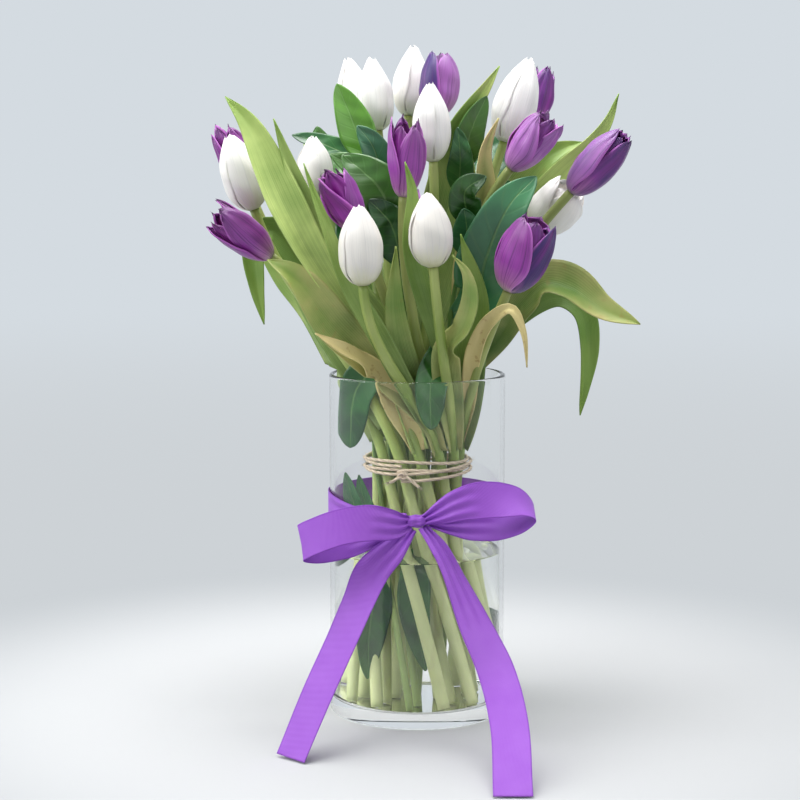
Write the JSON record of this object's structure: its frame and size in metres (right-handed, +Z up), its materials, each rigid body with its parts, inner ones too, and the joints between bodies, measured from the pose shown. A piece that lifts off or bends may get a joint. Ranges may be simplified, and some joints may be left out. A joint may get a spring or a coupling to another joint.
{
  "type": "vase of cut tulips",
  "caption": "Clear cylinder vase of white and purple tulips with dark greenery, tied with twine and wrapped with a ribbon bow whose tails reach the table.",
  "frame": {"origin": "centre of the vase's flat underside, where it rests on the table", "axes": "+Z up along the vase's axis; the bow and its tails are on the -Y side, which is the front; +X is to the right as seen from the front"},
  "size_m": [0.2983, 0.3261, 0.4775],
  "materials": {
    "glass": "clear, polished",
    "water": "still, clear water",
    "white_petal": "waxy petal",
    "purple_petal": "satin petal",
    "tulip_stem": "waxy stem and leaf",
    "foliage": "glossy leathery leaf",
    "twine": "hairy jute",
    "ribbon": "ribbed satin"
  },
  "bodies": {
    "root": {"glass_vase": "glass", "water": "water", "tulip_stem_white_01": "tulip_stem", "tulip_bloom_white_01": "white_petal", "tulip_stem_white_02": "tulip_stem", "tulip_bloom_white_02": "white_petal", "tulip_stem_white_03": "tulip_stem", "tulip_bloom_white_03": "white_petal", "tulip_stem_white_04": "tulip_stem", "tulip_bloom_white_04": "white_petal", "tulip_stem_white_05": "tulip_stem", "tulip_bloom_white_05": "white_petal", "tulip_stem_white_06": "tulip_stem", "tulip_bloom_white_06": "white_petal", "tulip_stem_white_07": "tulip_stem", "tulip_bloom_white_07": "white_petal", "tulip_stem_white_08": "tulip_stem", "tulip_bloom_white_08": "white_petal", "tulip_stem_white_09": "tulip_stem", "tulip_bloom_white_09": "white_petal", "tulip_stem_white_10": "tulip_stem", "tulip_bloom_white_10": "white_petal", "tulip_stem_purple_01": "tulip_stem", "tulip_bloom_purple_01": "purple_petal", "tulip_stem_purple_02": "tulip_stem", "tulip_bloom_purple_02": "purple_petal", "tulip_stem_purple_03": "tulip_stem", "tulip_bloom_purple_03": "purple_petal", "tulip_stem_purple_04": "tulip_stem", "tulip_bloom_purple_04": "purple_petal", "tulip_stem_purple_05": "tulip_stem", "tulip_bloom_purple_05": "purple_petal", "tulip_stem_purple_06": "tulip_stem", "tulip_bloom_purple_06": "purple_petal", "tulip_stem_purple_07": "tulip_stem", "tulip_bloom_purple_07": "purple_petal", "tulip_stem_purple_08": "tulip_stem", "tulip_bloom_purple_08": "purple_petal", "tulip_stem_purple_09": "tulip_stem", "tulip_bloom_purple_09": "purple_petal", "tulip_stem_purple_10": "tulip_stem", "tulip_bloom_purple_10": "purple_petal", "foliage_sprig_01": "foliage", "foliage_sprig_02": "foliage", "foliage_sprig_03": "foliage", "foliage_sprig_04": "foliage", "foliage_sprig_05": "foliage", "foliage_sprig_06": "foliage", "twine_tie": "twine", "ribbon_band": "ribbon", "bow_knot": "ribbon", "bow_loop_left": "ribbon", "bow_loop_right": "ribbon", "ribbon_tail_left": "ribbon", "ribbon_tail_right": "ribbon"}
  },
  "joints": []
}
